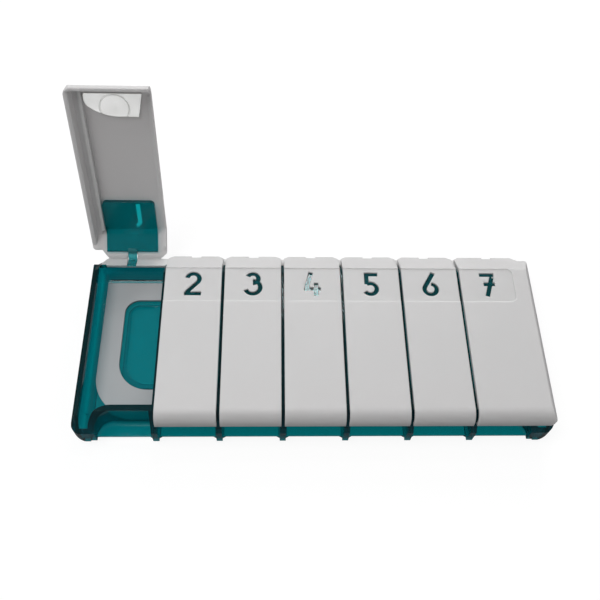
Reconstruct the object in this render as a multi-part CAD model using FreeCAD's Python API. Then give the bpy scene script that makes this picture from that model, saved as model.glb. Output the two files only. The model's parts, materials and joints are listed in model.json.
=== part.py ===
import FreeCAD, Part
import math
import os

# Seven-day pill organizer: a teal tray of seven bays in a row, a white hinge rail on its rear
# wall, and seven white lids, each with its own day numeral.  Millimetres, +Z up, front towards
# -Y.  The origin is under the middle of the tray, on the surface it stands on.

V = FreeCAD.Vector

# ---- driving dimensions: layout ---------------------------------------------------------------
DEPTH = 70.9               # front to rear, over the ribs
MIDDLE_Y = -0.15           # middle of that depth
TOP_Z = 16.0               # height over the shut lids
DAYS = 7
PITCH = 22.0               # from one bay to the next
DIVIDER = 1.0              # thickness of the walls between bays
LID_GAP = 1.2              # slot between neighbouring lids
OPEN_DAY = 1               # this lid stands open at rest, the others are shut
OPEN_ANGLE = 107.2         # how far it stands open, degrees

# ---- driving dimensions: lid, side view --------------------------------------------------------
CREASE_RUN = 9.1           # from the hinge forwards to where the top face turns down
HINGE_DROP = 7.9           # from the top face down to the axis of the living hinges
WEB_R = 0.25               # half the thickness of the living hinge's web
WEB_CLEAR = 0.05           # round the web
LID_WALL = 1.2
LIP_BACK = 1.3             # front face of the lids, behind the ribs' front
LIP_R = 4.6                # round from the top face into the lip
LIP_DEPTH = 5.5            # from the top face down to the lip's edge
REAR_EDGE = 1.2            # height of a lid's edge face at the hinge
RIM_DEPTH = 1.9            # rim along a lid's sides, measured from its outer face
RIM_WIDTH = 1.3

# ---- driving dimensions: lid details -----------------------------------------------------------
BAND_LENGTH = 14.2         # sunk number band, from the crease forwards
BAND_DEPTH = 0.35
BAND_BACK = 1.5            # the band of an end lid stops this far inside the row of bays
BAND_CORNER_R = 2.2
CORNER_CUT_X = 2.2         # bevel of the lids' rear corners
CORNER_CUT_Y = 1.8
NOTCH_DEPTH = 1.0          # notch in the rear edge that clears the strap
PAD_LENGTH = 8.6           # thumb pad under the lip
PAD_BACK = 3.7             # from the lip's face to the pad
PAD_THICK = 0.6
PAD_MARGIN = 3.0           # from the lid's side to the pad, at the lip
PAD_SLANT = 1.8            # the pad's sides come in by this towards the hinge
PAD_SHOULDER = 5.1         # length of the round end of the end lids' pads
PAD_BOW = 0.7              # how far the long edge of those pads bows out
PAD_RING_R = 5.0           # ring sunk in the pad's face, cut off by the pad's rear edge
PAD_RING_BACK = 3.3        # its middle lies this far in front of that edge
PAD_RING_LINE = 0.4
PAD_RING_DEPTH = 0.15

# ---- driving dimensions: end lids; "over" is measured outwards from the end of the row of bays -----
TOP_OVER = 4.7             # side of the end lids at the top face
SKIRT_OVER = 6.9           # and at the foot of their skirt
SKIRT_DEPTH = 5.0          # from the top face down to the skirt's foot
SHOULDER_R = 1.1           # round from the top face into the skirt
SKIRT_WALL = 1.5           # at its foot
STEP_OVER = 3.2            # here the rear edge steps forwards
END_STEP_Y = 2.5
END_CORNER_R = 1.4         # round behind the step
LIP_CORNER_R = 3.0         # round of the outer corner at the lip
RIM_CLEAR = 0.35           # round the end wall's rim, which stands in a groove of the lid
RIDGE_WALL = 1.1           # ridge inside the groove
RIDGE_CLEAR = 0.3          # from the ridge to the plaque and the thumb pad
RIDGE_DEPTH = 3.2          # from the top face down to the ridge's foot

# ---- driving dimensions: numerals --------------------------------------------------------------
DIGIT_W = 6.2
DIGIT_H = 10.2
STROKE = 1.7
DIGIT_MARGIN = 1.7         # from the crease to the numerals

# ---- driving dimensions: tray ------------------------------------------------------------------
BODY_OVER = 5.8            # widest point of the tray's ends, outwards from the row of bays
RIM_OVER = 4.3             # outer face of the end walls' rim
RIM_WALL = 1.2
END_RIM_DROP = 3.0         # from the lids' top face down to the top of the end walls
LEDGE_DROP = 5.4           # and to the shoulder below the end lids' skirts
WALL_DROP = 2.1            # and to the top of dividers and front wall
BELLY_Z = 8.2              # height where the ends are widest
BELLY_R = 12.0             # round from there to the foot
BASE_Z = 1.0               # underside of the floor
FLOOR_Z = 2.2              # top of the floor
FRONT_WALL_BACK = 5.8      # from the ribs' front to the front wall
FRONT_WALL = 2.2
REAR_WALL = 4.2
RIB_SHOULDER_DROP = 8.7    # the ribs slope up from here to the front wall
RIB_FRONT_W = 2.1
RIB_ROOT_W = 3.0
FLANGE_BACK = 1.2          # from the ribs' front to the flange between them
FLANGE_THICK = 1.1
TOE_W = 4.4                # width of a rib's toe where it leaves the flange
TURN_R = 8.0               # the front wall turns forwards into the end ribs
TURN_BACK = 7.6            # the turn starts this far inside the row of bays
POCKET_WALL = 1.4          # front wall of the pocket beside the end rib
REAR_CORNER_R = 6.0
FRONT_CORNER_R = 2.6
REAR_BELLY_Z = 6.0
REAR_BELLY_R = 7.0
BAY_REAR_R = 4.0           # round from the rear wall into the floor
BAY_END_R = 2.0
SKID_W = 2.0               # the rim of the underside that stands on the table
APRON_R = 1.0              # round between front wall and flange

# ---- driving dimensions: rail, straps, plaques, liners -----------------------------------------
RAIL_THICK = 1.4
RAIL_ANGLE = 22.0          # slope of the rail's top, degrees
RAIL_OVER = 3.8            # end of the rail, outwards from the row of bays
RAIL_CORNER_X = 2.6
RAIL_CORNER_Y = 4.1
STRAP_W = 3.3
STRAP_THICK = 0.6
STRAP_CLEAR = 0.2
PLAQUE_THICK = 1.55
PLAQUE_TAIL = 0.6          # thickness of the plaque's tail on the slope
PLAQUE_FOLD = 1.4          # from the crease to where its underside turns down into the tail
PLAQUE_CLEAR = 0.05        # between a lid's inner face and the plaque
PLAQUE_MARGIN = 3.3        # from a lid's side to the plaque
PLAQUE_FRONT = 13.4        # from the crease forwards
PLAQUE_REAR = 2.4          # from the hinge to the plaque's rear edge
PLAQUE_CORNER_R = 1.7
LINER_THICK = 0.9
LINER_CLEAR = 0.1          # from the liner to the foot of the bay's round edges
LINER_CORNER_R = 15.0
WINDOW_FRONT_GAP = 10.1    # from the front wall to the window
WINDOW_REAR_GAP = 11.7     # from the rear wall to the window
WINDOW_END_MARGIN = 7.6    # from the liner's end to the window, in the end bays
WINDOW_FRONT_R = 11.0
WINDOW_REAR_R = 5.5
WELL_INSET = 2.4           # from the window to the well below it
WELL_SIDE = 0.9            # from the walls between bays to the well
WELL_DEPTH = 1.0
WELL_WALL = 1.2            # wall round the wells; the tray stands on their underside

# ---- worked out from the above -----------------------------------------------------------------
ROW_X = DAYS * PITCH / 2                   # half length of the row of bays
RIB_FRONT_Y = MIDDLE_Y - DEPTH / 2         # front edge of the ribs, and of the whole tray
REAR_OUT_Y = MIDDLE_Y + DEPTH / 2          # rear face
HINGE_Y = REAR_OUT_Y                       # the hinge axis stands above the rear face
HINGE_Z = TOP_Z - HINGE_DROP
CREASE_Y = HINGE_Y - CREASE_RUN
LIP_Y = RIB_FRONT_Y + LIP_BACK
LIP_BOTTOM_Z = TOP_Z - LIP_DEPTH
SKIRT_BOTTOM_Z = TOP_Z - SKIRT_DEPTH
RIDGE_BOTTOM_Z = TOP_Z - RIDGE_DEPTH
PAD_FRONT_Y = LIP_Y + PAD_BACK
FRONT_OUT_Y = RIB_FRONT_Y + FRONT_WALL_BACK
FRONT_IN_Y = FRONT_OUT_Y + FRONT_WALL
FLANGE_Y = RIB_FRONT_Y + FLANGE_BACK
REAR_IN_Y = REAR_OUT_Y - REAR_WALL
WALL_TOP_Z = TOP_Z - WALL_DROP
END_RIM_Z = TOP_Z - END_RIM_DROP
LEDGE_Z = TOP_Z - LEDGE_DROP
RIB_SHOULDER_Z = TOP_Z - RIB_SHOULDER_DROP
PLAQUE_FOLD_Y = CREASE_Y + PLAQUE_FOLD
WINDOW_FRONT_Y = FRONT_IN_Y + WINDOW_FRONT_GAP
WINDOW_REAR_Y = REAR_IN_Y - WINDOW_REAR_GAP
SIDE = PITCH / 2 - LID_GAP / 2             # half width of a middle lid
END_TOP_X = ROW_X + TOP_OVER
END_SKIRT_X = ROW_X + SKIRT_OVER
END_STEP_X = ROW_X + STEP_OVER
BAND_END = ROW_X - BAND_BACK
BODY_X = ROW_X + BODY_OVER
RIM_X = ROW_X + RIM_OVER
RIM_INNER_X = RIM_X - RIM_WALL
RIDGE_X = RIM_INNER_X - RIM_CLEAR          # outer face of the ridge
INSIDE_X = RIDGE_X - RIDGE_WALL - RIDGE_CLEAR
TURN_X = ROW_X - TURN_BACK
RAIL_X = ROW_X + RAIL_OVER
OUT_OF_THE_WAY = 200.0                     # longer than anything here
RAIL_SLOPE = math.radians(RAIL_ANGLE)
HINGE_GAP = (WEB_R + WEB_CLEAR) / math.cos(RAIL_SLOPE)   # from the axis up to a lid, or down to the rail
LINER_END_X = RIM_INNER_X - BAY_END_R - LINER_CLEAR
WINDOW_END_X = LINER_END_X - WINDOW_END_MARGIN
REAR_TOP_Z = HINGE_Z + HINGE_GAP + REAR_EDGE             # outer face of a lid at the hinge
SLOPE = math.atan2(TOP_Z - REAR_TOP_Z, HINGE_Y - CREASE_Y)
RAIL_REAR_Z = HINGE_Z - HINGE_GAP                        # top of the rail at the hinge


def day_x(day):
    """Middle of a day's bay."""
    return (day - (DAYS + 1) / 2) * PITCH


def end_side(day):
    """-1 for the bay at the left end, +1 at the right end, 0 between."""
    return (day == DAYS) - (day == 1)


# ---- small helpers ------------------------------------------------------------------------------
def face(points, place):
    """A flat face through the points; an item (middle, end) is an arc from the point before."""
    edges = []
    here = points[0]
    for item in points[1:] + [points[0]]:
        if isinstance(item[0], tuple):
            middle, end = item
            edges.append(Part.Arc(place(*here), place(*middle), place(*end)).toShape())
            here = end
        elif item != here:
            edges.append(Part.makeLine(place(*here), place(*item)))
            here = item
    return Part.Face(Part.Wire(edges))


def side_solid(points, x1, x2):
    """A side view outline (y, z), as thick as from x1 to x2."""
    return face(points, lambda y, z: V(x1, y, z)).extrude(V(x2 - x1, 0, 0))


def front_solid(points, y1, y2):
    """A front view outline (x, z), as thick as from y1 to y2."""
    return face(points, lambda x, z: V(x, y1, z)).extrude(V(0, y2 - y1, 0))


def plan_solid(points, z1, z2):
    """A plan outline (x, y), as thick as from z1 to z2."""
    return face(points, lambda x, y: V(x, y, z1)).extrude(V(0, 0, z2 - z1))


def box(x1, x2, y1, y2, z1, z2):
    return Part.makeBox(x2 - x1, y2 - y1, z2 - z1, V(x1, y1, z1))


def fillet_where(solid, radius, wanted):
    """Rounds the edges whose middle point the test accepts."""
    edges = [e for e in solid.Edges if wanted(e.valueAt((e.FirstParameter + e.LastParameter) / 2), e)]
    return solid.makeFillet(radius, edges)


def is_vertical(edge):
    a, b = edge.Vertexes[0].Point, edge.Vertexes[-1].Point
    return abs(a.x - b.x) + abs(a.y - b.y) < 1e-6


def round_box(x1, x2, y1, y2, z1, z2, radius):
    """A box with its four upright edges rounded."""
    return fillet_where(box(x1, x2, y1, y2, z1, z2), radius, lambda p, e: is_vertical(e))


def mirror_x(shape):
    return shape.mirror(V(0, 0, 0), V(1, 0, 0))


def one_solid(shape):
    return shape.removeSplitter().Solids[0]


def stand_open(shape, day):
    """Turns a piece of the open day's lid to where it stands at rest."""
    if day == OPEN_DAY:
        shape = shape.copy()
        shape.rotate(V(0, HINGE_Y, HINGE_Z), V(-1, 0, 0), OPEN_ANGLE)
    return shape


def save(name, shape):
    shape.exportStep("parts/" + name + ".step")


# ---- lids ---------------------------------------------------------------------------------------
def slope_offset(depth):
    """How far below the slope's outer face a parallel face is, straight down."""
    return depth / math.cos(SLOPE)


def crease_shift(depth):
    """How far the crease moves forwards on a face that lies deeper."""
    return depth * math.tan(SLOPE / 2)


def lid_outline(depth):
    """Side view of the lid's outer face, moved inwards by depth, closed along a level line."""
    low = LIP_BOTTOM_Z
    radius = LIP_R - depth
    centre_y = LIP_Y + LIP_R
    centre_z = TOP_Z - LIP_R
    s = radius * math.sqrt(0.5)
    rear_z = REAR_TOP_Z - slope_offset(depth)
    return [
        (HINGE_Y, rear_z),
        (CREASE_Y - crease_shift(depth), TOP_Z - depth),
        (centre_y, TOP_Z - depth),
        ((centre_y - s, centre_z + s), (centre_y - radius, centre_z)),
        (LIP_Y + depth, low),
    ]


def lid_shell():
    """Side view of the wall itself: outer face, lip, inner face, and the bevel at the hinge."""
    outer = lid_outline(0)
    inner = lid_outline(LID_WALL)
    inner_rear, inner_crease, inner_flat, inner_arc, inner_lip = inner
    bevel = (slope_offset(LID_WALL) - REAR_EDGE) / (math.tan(SLOPE) - math.tan(RAIL_SLOPE))
    bevel_z = HINGE_Z + HINGE_GAP + bevel * math.tan(RAIL_SLOPE)
    (arc_middle, arc_end) = inner_arc
    return outer + [
        inner_lip,
        arc_end,
        (arc_middle, inner_flat),
        inner_crease,
        (HINGE_Y - bevel, bevel_z),
        (HINGE_Y, HINGE_Z + HINGE_GAP),
    ]


def rim_outline():
    """Side view of the rims along a lid's sides; they stop behind the round lip."""
    return [
        (HINGE_Y - RIM_WIDTH, REAR_TOP_Z + RIM_WIDTH * math.tan(SLOPE) - slope_offset(LID_WALL / 2)),
        (CREASE_Y - crease_shift(LID_WALL / 2), TOP_Z - LID_WALL / 2),
        (LIP_Y + LIP_R, TOP_Z - LID_WALL / 2),
        (LIP_Y + LIP_R, TOP_Z - RIM_DEPTH),
        (CREASE_Y - crease_shift(RIM_DEPTH), TOP_Z - RIM_DEPTH),
        (REAR_IN_Y, REAR_TOP_Z + (HINGE_Y - REAR_IN_Y) * math.tan(SLOPE) - slope_offset(RIM_DEPTH)),
    ]


def lid_sides(day):
    """The lid's left and right side at the top face."""
    x = day_x(day)
    left, right = x - SIDE, x + SIDE
    if end_side(day) < 0:
        left = -END_TOP_X
    if end_side(day) > 0:
        right = END_TOP_X
    return left, right


def strap_x(day):
    left, right = plaque_sides(day)
    return (left + right) / 2


def plaque_sides(day):
    x = day_x(day)
    left, right = x - SIDE + PLAQUE_MARGIN, x + SIDE - PLAQUE_MARGIN
    if end_side(day) < 0:
        left = -INSIDE_X
    if end_side(day) > 0:
        right = INSIDE_X
    return left, right


def lid_plan(day):
    """Plan outline of a lid: bevelled rear corners, and a stepped, rounded corner at the ends."""
    left, right = lid_sides(day)
    end = end_side(day)
    rear = HINGE_Y + WEB_R
    front = LIP_Y - 1
    cut_y = rear - CORNER_CUT_Y
    points = [(left, front), (left, cut_y), (left + CORNER_CUT_X, rear),
              (right - CORNER_CUT_X, rear), (right, cut_y), (right, front)]
    if end == 0:
        return points
    wide = END_SKIRT_X
    step_y = rear - END_STEP_Y - WEB_R
    s = END_CORNER_R * (1 - math.sqrt(0.5))
    t = LIP_CORNER_R * (1 - math.sqrt(0.5))
    corner = [
        (END_STEP_X - END_STEP_Y, rear),
        (END_STEP_X, step_y),
        (wide - END_CORNER_R, step_y),
        ((wide - s, step_y - s), (wide, step_y - END_CORNER_R)),
        (wide, LIP_Y + LIP_CORNER_R),
        ((wide - t, LIP_Y + t), (wide - LIP_CORNER_R, LIP_Y)),
        (wide - LIP_CORNER_R, front),
    ]
    inner = abs(right) if end < 0 else abs(left)
    outline = [(inner, front), (inner, cut_y), (inner + CORNER_CUT_X, rear)] + corner
    if end > 0:
        return outline
    return [mirrored(item) for item in outline]


def mirrored(item):
    if isinstance(item[0], tuple):
        return tuple((-x, y) for x, y in item)
    return (-item[0], item[1])


def end_form():
    """The right end lid's outer form, cut off square below."""
    return front_solid([(0, 0), (0, TOP_Z)] + end_shoulder() + [(END_SKIRT_X, 0)], LIP_Y - 1, HINGE_Y + 1)


def end_shoulder():
    """Front view of the skirt's outer face, from the top face to its foot."""
    s = SHOULDER_R * (1 - math.sqrt(0.5))
    return [
        (END_TOP_X - SHOULDER_R, TOP_Z),
        ((END_TOP_X - s, TOP_Z - s), (END_TOP_X, TOP_Z - SHOULDER_R)),
        (END_SKIRT_X, SKIRT_BOTTOM_Z),
    ]


def lid_skirt():
    """The right end lid's outer wall, with the groove for the end wall's rim and the inner ridge."""
    groove_z = END_RIM_Z + RIM_CLEAR
    skirt = front_solid(end_shoulder() + [
        (END_SKIRT_X - SKIRT_WALL, SKIRT_BOTTOM_Z),
        (RIM_X + RIM_CLEAR, groove_z),
        (RIDGE_X, groove_z),
    ], LIP_Y, HINGE_Y)
    ridge = box(RIDGE_X - RIDGE_WALL, RIDGE_X, LIP_Y + LID_WALL / 2, CREASE_Y - crease_shift(LID_WALL),
                RIDGE_BOTTOM_Z, TOP_Z - LID_WALL / 2)
    return skirt.fuse(ridge).common(side_solid(lid_outline(0), 0, OUT_OF_THE_WAY))


def number_band(day):
    """The sunk band behind which the numeral stands."""
    left, right = lid_sides(day)
    end = end_side(day)
    if end < 0:
        left = -BAND_END
    if end > 0:
        right = BAND_END
    front = CREASE_Y - BAND_LENGTH
    band = box(left - (end >= 0), right + (end <= 0), front, CREASE_Y, TOP_Z - BAND_DEPTH, TOP_Z + 1)
    if end:
        corner_x = end * BAND_END
        band = fillet_where(band, BAND_CORNER_R, lambda p, e: is_vertical(e) and abs(p.x - corner_x) < 0.01)
    return band


def thumb_pad(day):
    """The smooth pad under the lip, where a finger lifts the lid; on the end lids one end is round."""
    left, right = lid_sides(day)
    end = end_side(day)
    far = left + PAD_MARGIN if end >= 0 else PAD_MARGIN - right
    near = INSIDE_X - PAD_SLANT / 4 if end else right - PAD_MARGIN
    front, rear = PAD_FRONT_Y, PAD_FRONT_Y + PAD_LENGTH
    shoulder = front + PAD_SHOULDER
    outline = [(near, front), (far, front), (far + PAD_SLANT, rear)]
    if end:
        in_x = near - PAD_SLANT / 2
        middle_x = (far + near) / 2
        outline += [(middle_x, rear),
                    (((middle_x + in_x) / 2, (rear + shoulder) / 2 + PAD_BOW), (in_x, shoulder)),
                    ((near + PAD_SLANT / 4, (front + shoulder) / 2), (near, front))]
    else:
        outline += [(near - PAD_SLANT, rear)]
    top = TOP_Z - LID_WALL
    pad = plan_solid(outline, top - PAD_THICK, top)
    pad = pad.cut(pad_ring((far + near) / 2, rear - PAD_RING_BACK, top - PAD_THICK))
    if end < 0:
        pad = mirror_x(pad)
    pad = pad.common(side_solid(lid_outline(LID_WALL), -OUT_OF_THE_WAY, OUT_OF_THE_WAY))
    return stand_open(one_solid(pad), day)


def pad_ring(x, y, face_z):
    """What is cut from a pad's face to sink a ring around (x, y)."""
    place, up = V(x, y, face_z - 1), V(0, 0, 1)
    height = 1 + PAD_RING_DEPTH
    outer = Part.makeCylinder(PAD_RING_R + PAD_RING_LINE / 2, height, place, up)
    return outer.cut(Part.makeCylinder(PAD_RING_R - PAD_RING_LINE / 2, height, place, up))


def lid(day):
    left, right = lid_sides(day)
    end = end_side(day)
    x1 = left if end >= 0 else -END_SKIRT_X
    x2 = right if end <= 0 else END_SKIRT_X
    shape = side_solid(lid_shell(), x1, x2)
    if end:
        form = end_form()
        shape = shape.common(form if end > 0 else mirror_x(form))
        skirt = lid_skirt()
        shape = shape.fuse(skirt if end > 0 else mirror_x(skirt))
    for side in (-1, 1):
        if side != end:
            edge = left if side < 0 else right
            inner = edge - side * RIM_WIDTH
            shape = shape.fuse(side_solid(rim_outline(), min(edge, inner), max(edge, inner)))
    shape = shape.common(plan_solid(lid_plan(day), 0, TOP_Z + 1))
    shape = shape.cut(number_band(day))
    shape = shape.cut(numeral(day))
    middle = strap_x(day)
    half = STRAP_W / 2 + STRAP_CLEAR
    shape = shape.cut(box(middle - half, middle + half, HINGE_Y - NOTCH_DEPTH, HINGE_Y + 1, 0, TOP_Z))
    shape = shape.cut(strap_groove(middle, half))
    return stand_open(one_solid(shape), day)


def strap_groove(middle, half):
    """The groove under a lid's slope that the strap's upper leg lies in."""
    leg = STRAP_THICK / 2 + STRAP_CLEAR
    (y1, z1), (y2, z2) = (HINGE_Y, HINGE_Z), strap_top()
    angle = math.atan2(z2 - z1, y1 - y2)
    dy, dz = leg * math.sin(angle), leg * math.cos(angle)
    reach = STRAP_CLEAR
    points = [(y1 + dy, z1 + dz), (y2 - reach + dy, z2 + dz), (y2 - reach - dy, z2 - dz), (y1 - dy, z1 - dz)]
    return side_solid(points, middle - half, middle + half)


# ---- numerals -----------------------------------------------------------------------------------
def bar(x1, y1, x2, y2):
    """A straight stroke with square ends, as a plan outline."""
    length = math.hypot(x2 - x1, y2 - y1)
    nx, ny = -(y2 - y1) / length * STROKE / 2, (x2 - x1) / length * STROKE / 2
    return [(x1 + nx, y1 + ny), (x2 + nx, y2 + ny), (x2 - nx, y2 - ny), (x1 - nx, y1 - ny)]


def bow(cx, cy, radius, start, end):
    """A curved stroke about (cx, cy), from one angle to another in degrees."""
    outer, inner = radius + STROKE / 2, radius - STROKE / 2

    def at(r, angle):
        return (cx + r * math.cos(math.radians(angle)), cy + r * math.sin(math.radians(angle)))
    middle = (start + end) / 2
    return [at(outer, start), (at(outer, middle), at(outer, end)),
            at(inner, end), (at(inner, middle), at(inner, start))]


def on_bow(cx, cy, radius, angle):
    return (cx + radius * math.cos(math.radians(angle)), cy + radius * math.sin(math.radians(angle)))


def digit_strokes(digit):
    """Plan outlines of one numeral's strokes; (0, 0) is its lower left corner."""
    w, h, t = DIGIT_W, DIGIT_H, STROKE / 2
    wide = w / 2 - t                      # radius of a bowl as wide as the numeral
    if digit == 1:
        stem, hook = w * 0.62, w * 0.35
        return [bar(stem, 0, stem, h - hook), bow(stem - hook, h - hook, hook, 0, 75)]
    if digit == 2:
        top = (w / 2, h - wide - t)
        return [bow(*top, wide, -40, 170), bar(*on_bow(*top, wide, -38), t, STROKE * 0.8), bar(0, t, w, t)]
    if digit == 3:
        upper, lower = h * 0.2, h * 0.27
        return [bow(w / 2, h - upper - t, upper, -90, 155), bow(w / 2, lower + t, lower, -160, 90)]
    if digit == 4:
        level, stem = h * 0.28, w * 0.72
        return [bar(w * 0.42, h, t, level), bar(0, level, w, level), bar(stem, 0, stem, h * 0.55)]
    if digit == 5:
        low = h * 0.31 - t
        bowl = (w / 2 - t / 2, low + t)
        start = on_bow(*bowl, low, 125)
        return [bar(start[0] - t, h - t, w * 0.9, h - t), bar(start[0], h, *start),
                bow(*bowl, low, -150, 127)]
    if digit == 6:
        bowl = (w / 2, wide + t)
        side = on_bow(*bowl, wide, 150)
        rise = h - side[1]
        return [bow(*bowl, wide, 148, 440), bar(*side, side[0] + rise / math.sqrt(3), h)]
    right = w * 0.9
    level = h * 0.52
    return [bar(0, h - t, right, h - t), bar(right - t, h - STROKE, w * 0.34, 0),
            bar(w * 0.2, level, right, level)]


def numeral(day):
    """The cut that shows the teal plaque through the lid's number band."""
    x = day_x(day) - DIGIT_W / 2
    y = CREASE_Y - DIGIT_MARGIN - DIGIT_H
    strokes = [plan_solid(outline, TOP_Z - 2 * LID_WALL, TOP_Z + 1) for outline in digit_strokes(day)]
    shape = strokes[0]
    if len(strokes) > 1:
        shape = strokes[0].multiFuse(strokes[1:])
    shape.translate(V(x, y, 0))
    return shape


# ---- plaque and strap ---------------------------------------------------------------------------
def plaque(day):
    """The teal plate under the number band; its thin tail follows the lid round the crease."""
    left, right = plaque_sides(day)
    near, tail = LID_WALL + PLAQUE_CLEAR, LID_WALL + PLAQUE_CLEAR + PLAQUE_TAIL
    bottom = TOP_Z - near - PLAQUE_THICK
    front = CREASE_Y - PLAQUE_FRONT
    rear = HINGE_Y - PLAQUE_REAR
    rear_z = PLAQUE_REAR * math.tan(SLOPE) + REAR_TOP_Z
    outline = [
        (rear, rear_z - slope_offset(near)),
        (CREASE_Y - crease_shift(near), TOP_Z - near),
        (front, TOP_Z - near),
        (front, bottom),
        (PLAQUE_FOLD_Y, bottom),
        (rear, rear_z - slope_offset(tail)),
    ]
    shape = side_solid(outline, left, right)
    shape = fillet_where(shape, PLAQUE_CORNER_R, lambda p, e: is_vertical(e) and abs(p.y - front) < 0.01)
    return stand_open(shape, day)


def strap_top():
    """Where the strap's upper leg meets the shut plaque's rear edge, mid thickness."""
    rear = HINGE_Y - PLAQUE_REAR
    z = REAR_TOP_Z + PLAQUE_REAR * math.tan(SLOPE) - slope_offset(LID_WALL + PLAQUE_CLEAR + PLAQUE_TAIL / 2)
    return (rear, z)


def leg(y1, z1, y2, z2, x1, x2):
    """A flat strip of the strap between two points of its middle line."""
    length = math.hypot(y2 - y1, z2 - z1)
    ny, nz = -(z2 - z1) / length * STRAP_THICK / 2, (y2 - y1) / length * STRAP_THICK / 2
    return side_solid([(y1 + ny, z1 + nz), (y2 + ny, z2 + nz),
                       (y2 - ny, z2 - nz), (y1 - ny, z1 - nz)], x1, x2)


def strap(day):
    """The teal strap from the rear wall over rail and hinge to the plaque."""
    middle = strap_x(day)
    x1, x2 = middle - STRAP_W / 2, middle + STRAP_W / 2
    half = STRAP_THICK / 2
    lower = leg(REAR_IN_Y, rail_line(REAR_IN_Y, half), HINGE_Y, rail_line(HINGE_Y, half), x1, x2)
    knuckle = Part.makeCylinder(STRAP_THICK / 2 + STRAP_CLEAR, STRAP_W, V(x1, HINGE_Y, HINGE_Z), V(1, 0, 0))
    top_y, top_z = strap_top()
    upper = stand_open(leg(HINGE_Y, HINGE_Z, top_y + STRAP_CLEAR, top_z, x1, x2), day)
    return one_solid(lower.fuse(knuckle).fuse(upper))


# ---- hinge rail and webs ------------------------------------------------------------------------
def rail_line(y, depth):
    """Height of the rail's top face at y, or of a parallel face below it."""
    return RAIL_REAR_Z + (HINGE_Y - y) * math.tan(RAIL_SLOPE) - depth / math.cos(RAIL_SLOPE)


def hinge_rail():
    outline = [(REAR_IN_Y, rail_line(REAR_IN_Y, 0)), (HINGE_Y, rail_line(HINGE_Y, 0)),
               (HINGE_Y, rail_line(HINGE_Y, RAIL_THICK)), (REAR_IN_Y, rail_line(REAR_IN_Y, RAIL_THICK))]
    shape = side_solid(outline, -RAIL_X, RAIL_X)
    inner_x = RAIL_X - RAIL_CORNER_X
    front_y = HINGE_Y - RAIL_CORNER_Y
    shape = shape.common(plan_solid([(-RAIL_X, REAR_IN_Y), (-RAIL_X, front_y), (-inner_x, HINGE_Y),
                                     (inner_x, HINGE_Y), (RAIL_X, front_y), (RAIL_X, REAR_IN_Y)], 0, TOP_Z))
    for day in range(1, DAYS + 1):
        shape = shape.cut(rail_groove(day))
    return one_solid(shape)


def rail_groove(day):
    """The groove across the rail that a strap lies in."""
    middle = strap_x(day)
    half = STRAP_W / 2 + STRAP_CLEAR
    deep = STRAP_THICK + STRAP_CLEAR
    outline = [(REAR_IN_Y - 1, TOP_Z), (HINGE_Y + 1, TOP_Z), (HINGE_Y + 1, rail_line(HINGE_Y + 1, deep)),
               (REAR_IN_Y - 1, rail_line(REAR_IN_Y - 1, deep))]
    return side_solid(outline, middle - half, middle + half)


def web_section():
    """Side view of the web: eight flats about the hinge's axis."""
    turns = [math.radians(22.5 + 45 * k) for k in range(8)]
    return [(HINGE_Y + WEB_R * math.cos(a), HINGE_Z + WEB_R * math.sin(a)) for a in turns]


def living_hinge(day):
    """The thin web between rail and lid, in two lengths beside the strap."""
    left, right = lid_sides(day)
    left += CORNER_CUT_X
    right -= CORNER_CUT_X
    if end_side(day) < 0:
        left = END_STEP_Y - END_STEP_X
    if end_side(day) > 0:
        right = END_STEP_X - END_STEP_Y
    middle = strap_x(day)
    half = STRAP_W / 2 + STRAP_CLEAR
    webs = []
    for x1, x2 in ((left, middle - half), (middle + half, right)):
        webs.append(side_solid(web_section(), x1, x2))
    return Part.makeCompound(webs)


# ---- tray ---------------------------------------------------------------------------------------
def belly(half_width, top_z, radius, foot_z):
    """Arc from the widest point of a rounded wall down to the foot: its middle and its end."""
    centre = half_width - radius
    turn = math.asin((top_z - foot_z) / radius)
    middle = (centre + radius * math.cos(turn / 2), top_z - radius * math.sin(turn / 2))
    return (middle, (centre + radius * math.cos(turn), foot_z))


def tray_side_view():
    """Whole tray from the side: ribs at the front, dividers' tops, rail seat, rounded rear."""
    rear_middle, rear_end = belly(REAR_OUT_Y, REAR_BELLY_Z, REAR_BELLY_R, 0)
    clear = RIM_DEPTH + (TOP_Z - RIM_DEPTH - WALL_TOP_Z)
    slope_start = CREASE_Y - crease_shift(clear)
    return [
        (RIB_FRONT_Y, 0),
        (RIB_FRONT_Y, RIB_SHOULDER_Z),
        (FRONT_OUT_Y, WALL_TOP_Z),
        (slope_start, WALL_TOP_Z),
        (REAR_IN_Y, REAR_TOP_Z + (HINGE_Y - REAR_IN_Y) * math.tan(SLOPE) - slope_offset(clear)),
        (REAR_IN_Y, rail_line(REAR_IN_Y, RAIL_THICK)),
        (REAR_OUT_Y, rail_line(REAR_OUT_Y, RAIL_THICK)),
        (REAR_OUT_Y, REAR_BELLY_Z),
        (rear_middle, rear_end),
    ]


def tray_end_view():
    """Whole tray from the front: rims, shoulders under the skirts, rounded ends."""
    middle, end = belly(BODY_X, BELLY_Z, BELLY_R, 0)
    shoulder_x = BODY_X - (LEDGE_Z - BELLY_Z) ** 2 / (2 * BELLY_R)
    right = [(end[0], 0), (middle, (BODY_X, BELLY_Z)), (shoulder_x, LEDGE_Z),
             (RIM_X, LEDGE_Z), (RIM_X, TOP_Z)]
    left = [(-RIM_X, TOP_Z), (-RIM_X, LEDGE_Z), (-shoulder_x, LEDGE_Z), (-BODY_X, BELLY_Z),
            ((-middle[0], middle[1]), (-end[0], 0))]
    return right + left


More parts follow.
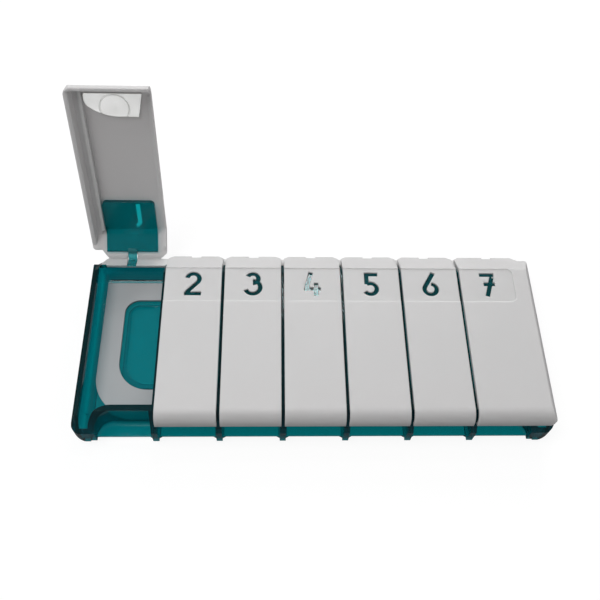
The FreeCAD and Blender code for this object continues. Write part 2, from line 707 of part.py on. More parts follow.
def tray_plan():
    """Plan of the tray, with round corners."""
    f = FRONT_CORNER_R
    r = REAR_CORNER_R
    x, y1, y2 = BODY_X, RIB_FRONT_Y, REAR_OUT_Y
    sf = f * (1 - math.sqrt(0.5))
    sr = r * (1 - math.sqrt(0.5))
    return [
        (-x + f, y1), (x - f, y1), ((x - sf, y1 + sf), (x, y1 + f)),
        (x, y2 - r), ((x - sr, y2 - sr), (x - r, y2)),
        (-x + r, y2), ((-x + sr, y2 - sr), (-x, y2 - r)),
        (-x, y1 + f), ((-x + sf, y1 + sf), (-x + f, y1)),
    ]


def bay_sides(day):
    """The faces of the two walls beside a bay."""
    half = PITCH / 2 - DIVIDER / 2
    left = day_x(day) - half if end_side(day) >= 0 else -RIM_INNER_X
    right = day_x(day) + half if end_side(day) <= 0 else RIM_INNER_X
    return left, right


def bay_tub(day):
    """The hollow of one bay; its rear wall runs round into the floor."""
    left, right = bay_sides(day)
    tub = box(left, right, FRONT_IN_Y, REAR_IN_Y, FLOOR_Z, TOP_Z + 1)
    tub = fillet_where(tub, BAY_REAR_R, lambda p, e: p.z < FLOOR_Z + 0.01 and abs(p.y - REAR_IN_Y) < 0.01)
    if end_side(day):
        wall_x = end_side(day) * RIM_INNER_X
        tub = fillet_where(tub, BAY_END_R, lambda p, e: abs(p.x - wall_x) < 0.01
                           and p.z < FLOOR_Z + BAY_REAR_R and not is_vertical(e))
    return tub


def end_pocket(side):
    """The narrow pocket beside an end rib, where the bay runs forwards round the wall's turn."""
    front = RIB_FRONT_Y + POCKET_WALL
    s = TURN_R * math.sqrt(0.5)
    centre_y = FRONT_IN_Y - TURN_R
    outline = [
        (TURN_X, FRONT_IN_Y),
        (TURN_X, FRONT_IN_Y + 1),
        (RIM_INNER_X, FRONT_IN_Y + 1),
        (RIM_INNER_X, front),
        (TURN_X + math.sqrt(TURN_R ** 2 - (front - centre_y) ** 2), front),
        ((TURN_X + s, centre_y + s), (TURN_X, FRONT_IN_Y)),
    ]
    shape = plan_solid(outline, FLOOR_Z, TOP_Z + 1)
    return shape if side > 0 else mirror_x(shape)


def front_recess(day):
    """The open space between two ribs, in front of the front wall and above the flange."""
    x = day_x(day)
    end = end_side(day)
    rib = RIB_FRONT_W / 2
    left, right = x - PITCH / 2 + rib, x + PITCH / 2 - rib
    wall = FRONT_IN_Y - FRONT_OUT_Y
    radius = TURN_R - wall
    if end > 0:
        right = TURN_X + radius
    if end < 0:
        left = -TURN_X - radius
    front = RIB_FRONT_Y - 1
    recess = box(left, right, front, FRONT_OUT_Y, BASE_Z + FLANGE_THICK, TOP_Z + 1)
    if end:
        corner_x = end * (TURN_X + radius)
        recess = fillet_where(recess, radius - 0.01,
                              lambda p, e: is_vertical(e) and abs(p.x - corner_x) < 0.01
                              and p.y > FRONT_OUT_Y - 0.01)
    recess = fillet_where(recess, APRON_R,
                          lambda p, e: abs(p.z - BASE_Z - FLANGE_THICK) < 0.01 and p.y > front + 0.5)
    trim = box(left, right, front, FLANGE_Y, -1, TOP_Z)
    return recess.fuse(trim)


def rib_gusset(x):
    """The wider root of a rib at the front wall, and its toe in front of the flange."""
    narrow, wide = RIB_FRONT_W / 2, RIB_ROOT_W / 2
    outline = [(x - narrow, FLANGE_Y), (x - wide, FRONT_OUT_Y),
               (x + wide, FRONT_OUT_Y), (x + narrow, FLANGE_Y)]
    root = plan_solid(outline, BASE_Z, WALL_TOP_Z)
    toe_y = RIB_FRONT_Y + (TOE_W - RIB_FRONT_W) / 4
    half = TOE_W / 2
    toe = plan_solid([(x - half, FLANGE_Y), (x - narrow, toe_y), (x + narrow, toe_y), (x + half, FLANGE_Y)],
                     BASE_Z, BASE_Z + FLANGE_THICK)
    return root.fuse(toe)


def underside():
    """The shallow hollow under the floor, round the long pad below the wells."""
    foot_x = belly(BODY_X, BELLY_Z, BELLY_R, 0)[1][0] - SKID_W
    foot_y = belly(REAR_OUT_Y, REAR_BELLY_Z, REAR_BELLY_R, 0)[1][0] - SKID_W
    hollow = box(-foot_x, foot_x, FRONT_OUT_Y, foot_y, -1, BASE_Z)
    rib = RIB_FRONT_W / 2
    for day in range(1, DAYS + 1):
        x = day_x(day)
        end = end_side(day)
        left = x - PITCH / 2 + rib if end >= 0 else -foot_x
        right = x + PITCH / 2 - rib if end <= 0 else foot_x
        hollow = hollow.fuse(box(left, right, RIB_FRONT_Y - 1, FRONT_OUT_Y + 1, -1, BASE_Z))
    inset = WELL_INSET - WELL_WALL
    pad_x = WINDOW_END_X - inset
    pad = round_box(-pad_x, pad_x, WINDOW_FRONT_Y + inset, WINDOW_REAR_Y - inset, -1, BASE_Z + 1,
                    WINDOW_REAR_R - inset)
    return hollow.cut(pad)


def window(day, inset, side, z1, z2):
    """The opening between a bay's liner strips, or the well below it when inset."""
    left, right = bay_sides(day)
    left += side
    right -= side
    end = end_side(day)
    end_x = WINDOW_END_X - inset
    if end < 0:
        left = -end_x
    if end > 0:
        right = end_x
    front, rear = WINDOW_FRONT_Y + inset, WINDOW_REAR_Y - inset
    shape = box(left, right, front, rear, z1, z2)
    if end:
        for y, radius in ((front, WINDOW_FRONT_R), (rear, WINDOW_REAR_R)):
            shape = fillet_where(shape, radius - inset, lambda p, e: is_vertical(e)
                                 and abs(p.x - end * end_x) < 0.01 and abs(p.y - y) < 0.01)
    return shape


def tray():
    shape = side_solid(tray_side_view(), -BODY_X, BODY_X)
    shape = shape.common(front_solid(tray_end_view(), RIB_FRONT_Y, REAR_OUT_Y))
    shape = shape.common(plan_solid(tray_plan(), 0, TOP_Z))
    days = range(1, DAYS + 1)
    shape = shape.cut(Part.makeCompound([bay_tub(day) for day in days]))
    for side in (-1, 1):
        shape = shape.cut(end_pocket(side))
        rim_cut = box(RIM_INNER_X - 1, BODY_X, RIB_FRONT_Y - 1, REAR_OUT_Y + 1, END_RIM_Z, TOP_Z)
        shape = shape.cut(rim_cut if side > 0 else mirror_x(rim_cut))
    for day in days:
        shape = shape.cut(front_recess(day))
    for day in days[:-1]:
        shape = shape.fuse(rib_gusset(day_x(day) + PITCH / 2).common(
            side_solid(tray_side_view(), -BODY_X, BODY_X)))
    shape = shape.cut(underside())
    for day in days:
        shape = shape.cut(window(day, WELL_INSET, WELL_SIDE, FLOOR_Z - WELL_DEPTH, FLOOR_Z + 1))
    return one_solid(shape)


def floor_liner(day):
    """The white sheet on a bay's floor: a strip in front and behind, joined round an end bay's end."""
    left, right = bay_sides(day)
    end = end_side(day)
    left = left + LINER_CLEAR if end >= 0 else -LINER_END_X
    right = right - LINER_CLEAR if end <= 0 else LINER_END_X
    front = FRONT_IN_Y + LINER_CLEAR
    rear = REAR_IN_Y - BAY_REAR_R - LINER_CLEAR
    shape = box(left, right, front, rear, FLOOR_Z, FLOOR_Z + LINER_THICK)
    if end:
        shape = fillet_where(shape, LINER_CORNER_R, lambda p, e: is_vertical(e)
                             and abs(p.x - end * LINER_END_X) < 0.01 and p.y < front + 1)
    return shape.cut(window(day, 0, -1, 0, TOP_Z))


# ---- the pieces ---------------------------------------------------------------------------------
os.makedirs("parts", exist_ok=True)
save("tray", tray())
save("hinge_rail", hinge_rail())
for number in range(1, DAYS + 1):
    save("lid_%d" % number, lid(number))
    save("thumb_pad_%d" % number, thumb_pad(number))
    save("number_plaque_%d" % number, plaque(number))
    save("hinge_strap_%d" % number, strap(number))
    save("living_hinge_%d" % number, living_hinge(number))
    save("floor_liner_%d" % number, floor_liner(number))
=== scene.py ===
import json
import math

import bpy
from mathutils import Matrix, Vector


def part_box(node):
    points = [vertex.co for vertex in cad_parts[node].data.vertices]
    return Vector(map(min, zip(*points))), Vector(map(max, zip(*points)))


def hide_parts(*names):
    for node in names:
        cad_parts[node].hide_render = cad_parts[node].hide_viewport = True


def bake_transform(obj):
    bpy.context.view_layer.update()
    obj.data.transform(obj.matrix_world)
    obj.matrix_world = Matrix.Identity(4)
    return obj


bl_info = {
    "name": "Weekly pill organizer",
    "version": (1, 0, 0),
    "blender": (4, 5, 0),
    "location": "View3D > Sidebar > Pill organizer",
    "description": "Dresses the seven-day pill organizer and sets up its studio",
    "category": "Object",
}

MM = 0.001
DAYS = range(1, 8)
SAME_PLACE = 0.001 * MM       # two points nearer than this are one

# Where a strap lies, in millimetres: distances from the hinge axis, forwards and up.
RAIL_LEG = [(4.15, 0.79), (3.2, 0.405), (2.0, -0.08), (0.75, -0.585)]
LID_LEG = [(0.75, 0.28), (1.5, 0.805), (2.1, 1.22), (2.6, 0.84), (3.0, 1.11), (3.6, 1.52)]
RAIL_LEAN = math.radians(22)
LID_LEAN = math.radians(35)
EDGE_SHARE = 0.3              # round of a strap's edges, as a share of its thickness
SQUARE_EDGE = math.radians(60)    # edges sharper than this are rounded
SMOOTH_BEND = math.radians(35)    # bends gentler than this look smooth

# Lamps: place, size in metres and power in watts. Each looks at the middle of the object.
OVERHEAD = ((-0.34, 0.04, 0.84), 0.45, 3.6)
REAR = ((0.2, 0.85, 0.5), 0.4, 3.7)
GLINT = ((0.046, 0.458, 0.741), 0.08, 0.55)         # mirrored by the plaque behind the 4
GLEAM = ((-0.125, -0.213, 0.012), 0.06, 0.07)       # mirrored by the open lid's thumb pad

FLOOR_SIZE = 4.0
FLOOR_GAP = 0.02 * MM         # keeps the floor off the tray's feet
FLOOR_WHITE = 0.85            # how even the floor is where nothing stands before it
FLOOR_STRENGTH = 1.05
SENSOR_WIDTH = 36.0
NEAREST = 0.01                # what is nearer to the camera isn't seen

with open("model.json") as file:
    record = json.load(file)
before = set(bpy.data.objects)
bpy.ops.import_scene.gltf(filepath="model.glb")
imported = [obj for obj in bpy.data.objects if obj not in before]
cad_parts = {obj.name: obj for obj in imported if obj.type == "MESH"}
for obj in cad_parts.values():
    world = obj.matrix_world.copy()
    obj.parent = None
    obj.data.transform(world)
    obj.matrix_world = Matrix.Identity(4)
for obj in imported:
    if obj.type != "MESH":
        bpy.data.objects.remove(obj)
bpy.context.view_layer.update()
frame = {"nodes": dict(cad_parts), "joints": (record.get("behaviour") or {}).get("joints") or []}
HINGES = {joint["child"]: joint for joint in frame["joints"]}


def lid_body(day):
    return "lid_body_%d" % day


def hinge_axis(day):
    """A point on the day's hinge, in metres."""
    return Vector(HINGES[lid_body(day)]["pos_m"])


def open_angle(day):
    """How far the day's lid stands open at rest, in radians."""
    return math.radians(-HINGES[lid_body(day)]["range_deg"][0])


# ---- colours and nodes --------------------------------------------------
def linear(hex_colour):
    """An sRGB hex colour as linear red, green, blue and 1."""
    channels = []
    for start in (1, 3, 5):
        value = int(hex_colour[start:start + 2], 16) / 255
        channels.append(value / 12.92 if value <= 0.04045 else ((value + 0.055) / 1.055) ** 2.4)
    return (*channels, 1.0)


def add_node(tree, kind, links=(), **settings):
    """Adds a node; settings are attributes or, where it has none by that name, input sockets."""
    node = tree.nodes.new(kind)
    for name, value in settings.items():
        if hasattr(node, name):
            setattr(node, name, value)
        else:
            node.inputs[name.replace("_", " ")].default_value = value
    for socket, source in dict(links).items():
        tree.links.new(source, node.inputs[socket])
    return node


def new_material(name):
    """An empty node material and its tree."""
    material = bpy.data.materials.new(name)
    material.use_nodes = True
    tree = material.node_tree
    tree.nodes.clear()
    return material, tree


def fine_relief(tree, grain, depth, edge):
    """Normal of a moulded face: slight unevenness of the given grain and depth, and edges that
    catch the light as if rounded to the radius `edge`."""
    place = add_node(tree, "ShaderNodeTexCoord")
    noise = add_node(tree, "ShaderNodeTexNoise", {"Vector": place.outputs["Object"]},
                     Scale=1 / grain, Detail=3.0, Roughness=0.55)
    rounded = add_node(tree, "ShaderNodeBevel", samples=4, Radius=edge)
    return add_node(tree, "ShaderNodeBump",
                    {"Height": noise.outputs["Fac"], "Normal": rounded.outputs["Normal"]},
                    Strength=0.35, Distance=depth).outputs["Normal"]


def varied_roughness(tree, grain, low, high):
    """Roughness that wanders between two values over the surface."""
    # The noise itself stays between about 0.3 and 0.7.
    place = add_node(tree, "ShaderNodeTexCoord")
    noise = add_node(tree, "ShaderNodeTexNoise", {"Vector": place.outputs["Object"]},
                     Scale=1 / grain, Detail=2.0)
    return add_node(tree, "ShaderNodeMapRange", {"Value": noise.outputs["Fac"]},
                    From_Min=0.3, From_Max=0.7, To_Min=low, To_Max=high).outputs["Result"]


# ---- materials ----------------------------------------------------------
def teal_polystyrene(name, finish, density, clearness):
    """Clear polystyrene tinted teal, moulded with polished walls. One sees through a single wall,
    while rims and ribs, where the light has to cross more of it, look nearly black."""
    material, tree = new_material(name)
    # Polystyrene has 1.59. With that the level rims mirror the surroundings and turn grey.
    shader = add_node(tree, "ShaderNodeBsdfPrincipled",
                      {"Normal": fine_relief(tree, grain=6 * MM, depth=0.05 * MM, edge=0.25 * MM),
                       "Roughness": varied_roughness(tree, grain=9 * MM, low=0.05, high=0.12)},
                      Base_Color=linear(finish.surface), IOR=1.3)
    shader.inputs["Transmission Weight"].default_value = clearness
    shader.inputs["Specular IOR Level"].default_value = finish.shine
    volume = add_node(tree, "ShaderNodeVolumeAbsorption", Color=linear(finish.tint),
                      Density=density)
    # Shadow rays pass straight through, so that the plastic casts a teal shadow and no black one.
    path = add_node(tree, "ShaderNodeLightPath")
    clear = add_node(tree, "ShaderNodeBsdfTransparent", Color=linear(finish.shade))
    mixed = add_node(tree, "ShaderNodeMixShader",
                     {0: path.outputs["Is Shadow Ray"], 1: shader.outputs["BSDF"],
                      2: clear.outputs["BSDF"]})
    add_node(tree, "ShaderNodeOutputMaterial",
             {"Surface": mixed.outputs["Shader"], "Volume": volume.outputs["Volume"]})
    return material


def white_polypropylene(finish):
    """White polypropylene from a lightly eroded mould: satin, with a grain that is only felt in
    the soft spread of its highlights, and milky, so that light from behind comes through."""
    material, tree = new_material("white_polypropylene_satin")
    shader = add_node(tree, "ShaderNodeBsdfPrincipled",
                      {"Normal": fine_relief(tree, grain=0.5 * MM, depth=0.012 * MM, edge=0.35 * MM),
                       "Roughness": varied_roughness(tree, grain=12 * MM, low=0.42, high=0.52)},
                      Base_Color=linear(finish.colour), IOR=1.49)
    shader.inputs["Subsurface Weight"].default_value = finish.glow
    # Red light reaches a little further, which keeps the thin walls from turning cold.
    shader.inputs["Subsurface Radius"].default_value = (0.62, 0.6, 0.6)
    shader.inputs["Subsurface Scale"].default_value = finish.spread
    add_node(tree, "ShaderNodeOutputMaterial", {"Surface": shader.outputs["BSDF"]})
    return material


def polished_polypropylene(finish):
    """The same plastic against a polished patch of the mould: smooth and glossy, and brighter than
    the satin face round it because it mirrors a lamp, and because its colour is painted whiter
    than the lids' as painted light."""
    material, tree = new_material("white_polypropylene_polished")
    # Base colour: painted light, a white brighter than the lids' so that the patch looks lit.
    shader = add_node(tree, "ShaderNodeBsdfPrincipled",
                      {"Normal": fine_relief(tree, grain=4 * MM, depth=0.01 * MM, edge=0.2 * MM),
                       "Roughness": varied_roughness(tree, grain=5 * MM, low=0.14, high=0.22)},
                      Base_Color=linear(finish.pad), IOR=1.49)
    # Twice the usual mirror share, so that the patch stands out from the satin round it.
    shader.inputs["Specular IOR Level"].default_value = 1.0
    add_node(tree, "ShaderNodeOutputMaterial", {"Surface": shader.outputs["BSDF"]})
    return material


def teal_elastomer(finish):
    """Soft elastomer tinted teal, moulded thin with a polished skin: half clear, so that it looks
    paler over the white rail than over the plaque. Its colour is partly a painted highlight: a
    paler teal that stands in for the whitish gleam where the strap bends."""
    material, tree = new_material("teal_elastomer_moulded")
    shader = add_node(tree, "ShaderNodeBsdfPrincipled",
                      {"Normal": fine_relief(tree, grain=0.8 * MM, depth=0.01 * MM, edge=0.1 * MM),
                       "Roughness": varied_roughness(tree, grain=2 * MM, low=0.14, high=0.24)},
                      Base_Color=linear(finish.strap), IOR=1.5)
    shader.inputs["Transmission Weight"].default_value = finish.strap_clearness
    add_node(tree, "ShaderNodeOutputMaterial", {"Surface": shader.outputs["BSDF"]})
    return material


def white_styrene_sheet(finish):
    """White polystyrene sheet, die-cut: matt and even, with a faint silky sheen at low angles."""
    material, tree = new_material("white_styrene_sheet_matt")
    shader = add_node(tree, "ShaderNodeBsdfPrincipled",
                      {"Normal": fine_relief(tree, grain=0.7 * MM, depth=0.01 * MM, edge=0.15 * MM),
                       "Roughness": varied_roughness(tree, grain=10 * MM, low=0.5, high=0.62)},
                      Base_Color=linear(finish.liner), IOR=1.5)
    add_node(tree, "ShaderNodeOutputMaterial", {"Surface": shader.outputs["BSDF"]})
    return material


def dress(names, material):
    """Gives CAD nodes a material."""
    for name in names:
        slots = frame["nodes"][name].data.materials
        slots.clear()
        slots.append(material)


# ---- settings -----------------------------------------------------------
class TealFinish(bpy.types.PropertyGroup):
    """The clear teal plastics of tray, plaques and straps"""
    surface: bpy.props.StringProperty(
        name="Surface", description="Tint where light enters and leaves", default="#0EA8AD")
    tint: bpy.props.StringProperty(
        name="Tint", description="Colour left after light has crossed the plastic", default="#3CD2D8")
    shade: bpy.props.StringProperty(
        name="Shade", description="Colour of the light that gets through a wall", default="#2FA9B2")
    density: bpy.props.FloatProperty(
        name="Density", description="Absorption per metre of the tray", default=760.0, min=0.0)
    clearness: bpy.props.FloatProperty(
        name="Clearness", description="Share of the light that passes through the tray",
        default=0.96, min=0.0, max=1.0, subtype="FACTOR")
    thin_density: bpy.props.FloatProperty(
        name="Thin density", description="Absorption per metre of the plaques", default=170.0, min=0.0)
    thin_clearness: bpy.props.FloatProperty(
        name="Thin clearness", description="Share of the light that passes through a plaque",
        default=0.92, min=0.0, max=1.0, subtype="FACTOR")
    shine: bpy.props.FloatProperty(
        name="Shine", description="How much the polished faces mirror",
        default=0.1, min=0.0, max=1.0, subtype="FACTOR")
    # Partly a painted highlight: a paler teal than the clear plastic, for the whitish gleam where the
    # straps bend.
    strap: bpy.props.StringProperty(
        name="Strap", description="Colour of the hinge straps", default="#40B4BA")
    strap_clearness: bpy.props.FloatProperty(
        name="Strap clearness", description="Share of the light that passes through a strap",
        default=0.7, min=0.0, max=1.0, subtype="FACTOR")


class WhiteFinish(bpy.types.PropertyGroup):
    """The white plastics of lids, rail, thumb pads and floor liners"""
    colour: bpy.props.StringProperty(
        name="Lid", description="Colour of lids and rail", default="#D5D4D4")
    liner: bpy.props.StringProperty(
        name="Liner", description="Colour of the floor liners", default="#A9ABAD")
    # Painted light: the pads get a whiter colour than the lids so that they look brighter.
    pad: bpy.props.StringProperty(
        name="Pad", description="Colour of the polished thumb pads", default="#FBFBF8")
    glow: bpy.props.FloatProperty(
        name="Glow", description="Share of the light that spreads inside the lids",
        default=1.0, min=0.0, max=1.0, subtype="FACTOR")
    spread: bpy.props.FloatProperty(
        name="Spread", description="How far light spreads inside the lids",
        default=3 * MM, unit="LENGTH")


class StrapSizes(bpy.types.PropertyGroup):
    """Sizes of the soft hinge straps"""
    width: bpy.props.FloatProperty(
        name="Width", description="Width of a hinge strap", default=3.3 * MM, unit="LENGTH")
    thickness: bpy.props.FloatProperty(
        name="Thickness", description="Thickness of a hinge strap", default=0.4 * MM, unit="LENGTH")
    loop: bpy.props.FloatProperty(
        name="Loop", description="How far the strap bulges behind the hinge",
        default=1.2 * MM, unit="LENGTH")
    steps: bpy.props.IntProperty(
        name="Steps", description="Pieces of the bend", default=14, min=4)


class Studio(bpy.types.PropertyGroup):
    """Camera, floor and surroundings"""
    camera_place: bpy.props.FloatVectorProperty(
        name="Camera", description="Where the camera stands",
        default=(-0.01506, -0.12521, 0.25260), unit="LENGTH")
    yaw: bpy.props.FloatProperty(
        name="Yaw", description="Camera turned from +Y towards +X",
        default=math.radians(4.31), subtype="ANGLE")
    dip: bpy.props.FloatProperty(
        name="Dip", description="Camera looking down from the horizon",
        default=math.radians(59.77), subtype="ANGLE")
    roll: bpy.props.FloatProperty(
        name="Roll", description="Camera rolled about its view",
        default=math.radians(3.93), subtype="ANGLE")
    lens: bpy.props.FloatProperty(
        name="Lens", description="Focal length in millimetres", default=45.0)
    floor: bpy.props.StringProperty(
        name="Floor", description="Colour of the floor", default="#FAFAFA")
    table: bpy.props.StringProperty(
        name="Table", description="How the floor lights the object from below", default="#A4A4A4")
    sky: bpy.props.FloatProperty(
        name="Sky", description="Strength of the light from all round", default=0.29, min=0.0)
    through: bpy.props.FloatProperty(
        name="Through", description="Brightness of the surroundings through plastic",
        default=0.8, min=0.0, max=1.0, subtype="FACTOR")
    under: bpy.props.FloatProperty(
        name="Under", description="Evenness of the floor behind clear plastic",
        default=0.35, min=0.0, max=1.0, subtype="FACTOR")


# ---- straps -------------------------------------------------------------
def moved_copy(name, piece, here, there):
    """A copy of a piece with its own mesh, moved sideways."""
    other = piece.copy()
    other.data = piece.data.copy()
    other.name = name
    bpy.context.collection.objects.link(other)
    other.data.transform(Matrix.Translation((there - here, 0, 0)))
    return other


def strap_path(day, angle, sizes):
    """Middle line of a strap from the rail, round the hinge, to its tab on the plaque: (y, z)."""
    hinge = hinge_axis(day)
    rail = [Vector((hinge.y - forward * MM, hinge.z + up * MM)) for forward, up in RAIL_LEG]
    turn = Matrix.Rotation(-angle, 2)
    lid = []
    for forward, up in LID_LEG:
        offset = turn @ Vector((-forward * MM, up * MM))
        lid.append(Vector((hinge.y, hinge.z)) + offset)
    off_rail = Vector((math.cos(RAIL_LEAN), -math.sin(RAIL_LEAN)))
    off_lid = turn @ Vector((math.cos(LID_LEAN), -math.sin(LID_LEAN)))
    start, end = rail[-1], lid[0]
    start_pull, end_pull = start + off_rail * sizes.loop, end + off_lid * sizes.loop
    bend = []
    for step in range(1, sizes.steps):
        t = step / sizes.steps
        bend.append(start * (1 - t) ** 3 + start_pull * 3 * t * (1 - t) ** 2
                    + end_pull * 3 * t * t * (1 - t) + end * t ** 3)
    return rail + bend + lid


def pull_edge(strip, y, move):
    """Moves the edge of a flat strip that lies at y, and leaves it selected in edit mode."""
    bpy.ops.object.mode_set(mode="EDIT")
    bpy.ops.mesh.select_mode(type="EDGE")
    bpy.ops.mesh.select_all(action="DESELECT")
    bpy.ops.object.mode_set(mode="OBJECT")
    vertices = strip.data.vertices
    for edge in strip.data.edges:
        edge.select = all(abs(vertices[end].co.y - y) < SAME_PLACE for end in edge.vertices)
    bpy.ops.object.mode_set(mode="EDIT")
    bpy.ops.transform.translate(value=move)


def ribbon(name, path, middle, sizes):
    """A strip that follows the path: a square whose far edge is pulled from point to point."""
    first, second = path[0], path[1]
    half = sizes.width / 2
    bpy.ops.object.select_all(action="DESELECT")
    bpy.ops.mesh.primitive_plane_add(size=sizes.width, location=(middle, first.x, first.y))
    bpy.ops.object.transform_apply(location=True)
    strip = bpy.context.active_object
    strip.name = name
    pull_edge(strip, first.x - half, (0, half, 0))
    pull_edge(strip, first.x + half, (0, second.x - first.x - half, second.y - first.y))
    for here, there in zip(path[1:], path[2:]):
        step = there - here
        bpy.ops.mesh.extrude_region_move(TRANSFORM_OT_translate={"value": (0, step.x, step.y)})
    bpy.ops.object.mode_set(mode="OBJECT")
    wall = strip.modifiers.new("wall", "SOLIDIFY")
    wall.thickness = sizes.thickness
    wall.offset = 0
    edge = strip.modifiers.new("edge", "BEVEL")
    edge.width = sizes.thickness * EDGE_SHARE
    edge.segments = 2
    edge.limit_method = "ANGLE"
    edge.angle_limit = SQUARE_EDGE
    for modifier in ("wall", "edge"):
        bpy.ops.object.modifier_apply(modifier=modifier)
    bpy.ops.object.mode_set(mode="EDIT")
    bpy.ops.mesh.select_all(action="SELECT")
    bpy.ops.mesh.normals_make_consistent(inside=False)
    bpy.ops.object.mode_set(mode="OBJECT")
    bpy.ops.object.shade_smooth_by_angle(angle=SMOOTH_BEND)
    return strip


# ---- stage --------------------------------------------------------------
def seen_directly(tree, through):
    """1 for rays from the camera, `through` for those that came through clear plastic, and 0 for
    the light that pieces mirror or exchange."""
    path = add_node(tree, "ShaderNodeLightPath")
    dimmed = add_node(tree, "ShaderNodeMath", {0: path.outputs["Is Transmission Ray"]},
                      operation="MULTIPLY")
    dimmed.inputs[1].default_value = through
    seen = add_node(tree, "ShaderNodeMath",
                    {0: path.outputs["Is Camera Ray"], 1: dimmed.outputs["Value"]},
                    operation="MAXIMUM")
    return seen.outputs["Value"]


def pale_floor(studio):
    """Seamless white paper: matt, white with a faint shadow where it is seen, and a calmer grey as
    it lights the object."""
    material, tree = new_material("white_paper_seamless")
    path = add_node(tree, "ShaderNodeLightPath")
    share = add_node(tree, "ShaderNodeMapRange", {"Value": path.outputs["Is Camera Ray"]},
                     To_Min=studio.under, To_Max=FLOOR_WHITE)
    grey = add_node(tree, "ShaderNodeBsdfDiffuse", Color=linear(studio.table))
    paper = add_node(tree, "ShaderNodeBsdfDiffuse", Color=linear(studio.floor))
    white = add_node(tree, "ShaderNodeEmission", Color=linear("#FFFFFF"), Strength=FLOOR_STRENGTH)
    bright = add_node(tree, "ShaderNodeMixShader",
                      {0: share.outputs["Result"], 1: paper.outputs["BSDF"],
                       2: white.outputs["Emission"]})
    mixed = add_node(tree, "ShaderNodeMixShader",
                     {0: seen_directly(tree, 1.0), 1: grey.outputs["BSDF"],
                      2: bright.outputs["Shader"]})
    add_node(tree, "ShaderNodeOutputMaterial", {"Surface": mixed.outputs["Shader"]})
    return material


def add_sky(scene, studio):
    """Plain white surroundings: soft light on the object, full white where they are seen."""
    world = bpy.data.worlds.new("white_surroundings")
    world.use_nodes = True
    tree = world.node_tree
    tree.nodes.clear()
    strength = add_node(tree, "ShaderNodeMapRange", {"Value": seen_directly(tree, studio.through)},
                        To_Min=studio.sky, To_Max=1.0)
    light = add_node(tree, "ShaderNodeBackground", {"Strength": strength.outputs["Result"]},
                     Color=linear("#FFFFFF"))
    add_node(tree, "ShaderNodeOutputWorld", {"Surface": light.outputs["Background"]})
    scene.world = world


def add_lamp(name, place, size, power):
    """A square soft lamp that looks at the middle of the object."""
    bpy.ops.object.light_add(type="AREA", location=place)
    lamp = bpy.context.active_object
    lamp.name = name
    lamp.data.energy = power
    lamp.data.size = size
    lamp.rotation_euler = (-Vector(place)).to_track_quat("-Z", "Y").to_euler()
    return lamp


def light_only(lamp, pieces):
    """Lets a lamp gleam on some pieces and leave all others alone."""
    lit = bpy.data.collections.new(lamp.name + "_lights")
    for piece in pieces:
        lit.objects.link(piece)
    lamp.light_linking.receiver_collection = lit


def add_camera(scene, studio):
    """Stands the camera in its place and turns it by yaw, dip and roll."""
    yaw, dip, roll = studio.yaw, studio.dip, studio.roll
    ahead = Vector((math.sin(yaw) * math.cos(dip), math.cos(yaw) * math.cos(dip), -math.sin(dip)))
    level = Vector((math.cos(yaw), -math.sin(yaw), 0))
    upright = level.cross(ahead)
    right = level * math.cos(roll) + upright * math.sin(roll)
    up = upright * math.cos(roll) - level * math.sin(roll)
    turn = Matrix((right, up, -ahead)).transposed().to_4x4()
    bpy.ops.object.camera_add()
    camera = bpy.context.active_object
    camera.name = "camera"
    camera.matrix_world = Matrix.Translation(studio.camera_place) @ turn
    camera.data.sensor_width = SENSOR_WIDTH
    camera.data.sensor_fit = "HORIZONTAL"
    camera.data.lens = studio.lens
    camera.data.clip_start = NEAREST
    scene.camera = camera


# ---- operators ----------------------------------------------------------
class ORGANIZER_OT_tray(bpy.types.Operator):
    """Gives the tray and the number plaques their clear teal plastic"""
    bl_idname = "organizer.tray"
    bl_label = "Tray and plaques"

    def execute(self, context):
        finish = context.scene.organizer_teal
        tray = teal_polystyrene("teal_polystyrene_moulded", finish,
                                finish.density, finish.clearness)
        plaque = teal_polystyrene("teal_polystyrene_thin", finish,
                                  finish.thin_density, finish.thin_clearness)
        dress(["tray"], tray)
        dress(["number_plaque_%d" % day for day in DAYS], plaque)
        return {"FINISHED"}


class ORGANIZER_OT_lids(bpy.types.Operator):
    """Gives lids, thumb pads, rail and hinge webs their white plastic"""
    bl_idname = "organizer.lids"
    bl_label = "Lids and rail"

    def execute(self, context):
        finish = context.scene.organizer_white
        names = ["hinge_rail"]
        for day in DAYS:
            names += ["lid_%d" % day, "living_hinge_%d" % day]
        dress(names, white_polypropylene(finish))
        dress(["thumb_pad_%d" % day for day in DAYS], polished_polypropylene(finish))
        return {"FINISHED"}


class ORGANIZER_OT_liners(bpy.types.Operator):
    """Gives the floor liners their white sheet"""
    bl_idname = "organizer.liners"
    bl_label = "Floor liners"

    def execute(self, context):
        finish = context.scene.organizer_white
        dress(["floor_liner_%d" % day for day in DAYS], white_styrene_sheet(finish))
        return {"FINISHED"}


class ORGANIZER_OT_straps(bpy.types.Operator):
    """Models the soft hinge straps, each bent to the angle at which its lid rests"""
    bl_idname = "organizer.straps"
    bl_label = "Hinge straps"

    def execute(self, context):
        sizes = context.scene.organizer_strap
        material = teal_elastomer(context.scene.organizer_teal)
        modelled = {}
        for day in DAYS:
            name = "strap_%d" % day
            low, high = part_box("hinge_strap_%d" % day)
            middle = (low[0] + high[0]) / 2
            angle = open_angle(day)
            if angle in modelled:
                strap = moved_copy(name, *modelled[angle], middle)
            else:
                strap = ribbon(name, strap_path(day, angle, sizes), middle, sizes)
                strap.data.materials.append(material)
                modelled[angle] = strap, middle
            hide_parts("hinge_strap_%d" % day)
            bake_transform(strap)
        return {"FINISHED"}


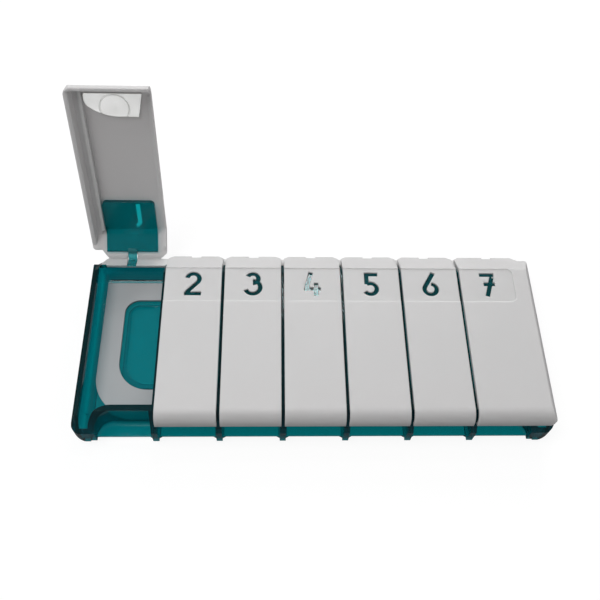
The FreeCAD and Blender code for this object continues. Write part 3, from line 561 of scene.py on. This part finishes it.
class ORGANIZER_OT_stage(bpy.types.Operator):
    """Sets up floor, lamps, sky and camera"""
    bl_idname = "organizer.stage"
    bl_label = "Stage"

    def execute(self, context):
        studio = context.scene.organizer_studio
        bpy.ops.mesh.primitive_plane_add(size=FLOOR_SIZE, location=(0, 0, -FLOOR_GAP))
        floor = context.active_object
        floor.name = "floor"
        floor.data.materials.append(pale_floor(studio))
        add_sky(context.scene, studio)
        add_lamp("overhead_lamp", *OVERHEAD)
        add_lamp("rear_lamp", *REAR)
        add_lamp("glint_lamp", *GLINT)
        gleam = add_lamp("pad_lamp", *GLEAM)
        light_only(gleam, [frame["nodes"]["thumb_pad_%d" % day] for day in DAYS])
        add_camera(context.scene, studio)
        context.scene.view_settings.view_transform = "Standard"
        return {"FINISHED"}


# ---- panel and registration --------------------------------------------
class ORGANIZER_PT_panel(bpy.types.Panel):
    """Lists the steps that dress the organizer"""
    bl_idname = "ORGANIZER_PT_panel"
    bl_label = "Pill organizer"
    bl_space_type = "VIEW_3D"
    bl_region_type = "UI"
    bl_category = "Pill organizer"

    def draw(self, context):
        for step in STEPS:
            self.layout.operator(step.bl_idname)


STEPS = (ORGANIZER_OT_tray, ORGANIZER_OT_lids, ORGANIZER_OT_liners, ORGANIZER_OT_straps,
         ORGANIZER_OT_stage)
SETTINGS = {
    "organizer_teal": TealFinish,
    "organizer_white": WhiteFinish,
    "organizer_strap": StrapSizes,
    "organizer_studio": Studio,
}
CLASSES = (*SETTINGS.values(), *STEPS, ORGANIZER_PT_panel)


def register():
    for cls in CLASSES:
        bpy.utils.register_class(cls)
    for name, group in SETTINGS.items():
        setattr(bpy.types.Scene, name, bpy.props.PointerProperty(type=group))


def unregister():
    for name in SETTINGS:
        delattr(bpy.types.Scene, name)
    for cls in reversed(CLASSES):
        bpy.utils.unregister_class(cls)


def main():
    register()
    bpy.ops.object.select_all(action="DESELECT")
    bpy.ops.organizer.tray()
    bpy.ops.organizer.lids()
    bpy.ops.organizer.liners()
    bpy.ops.organizer.straps()
    bpy.ops.organizer.stage()


if __name__ == "__main__":
    main()
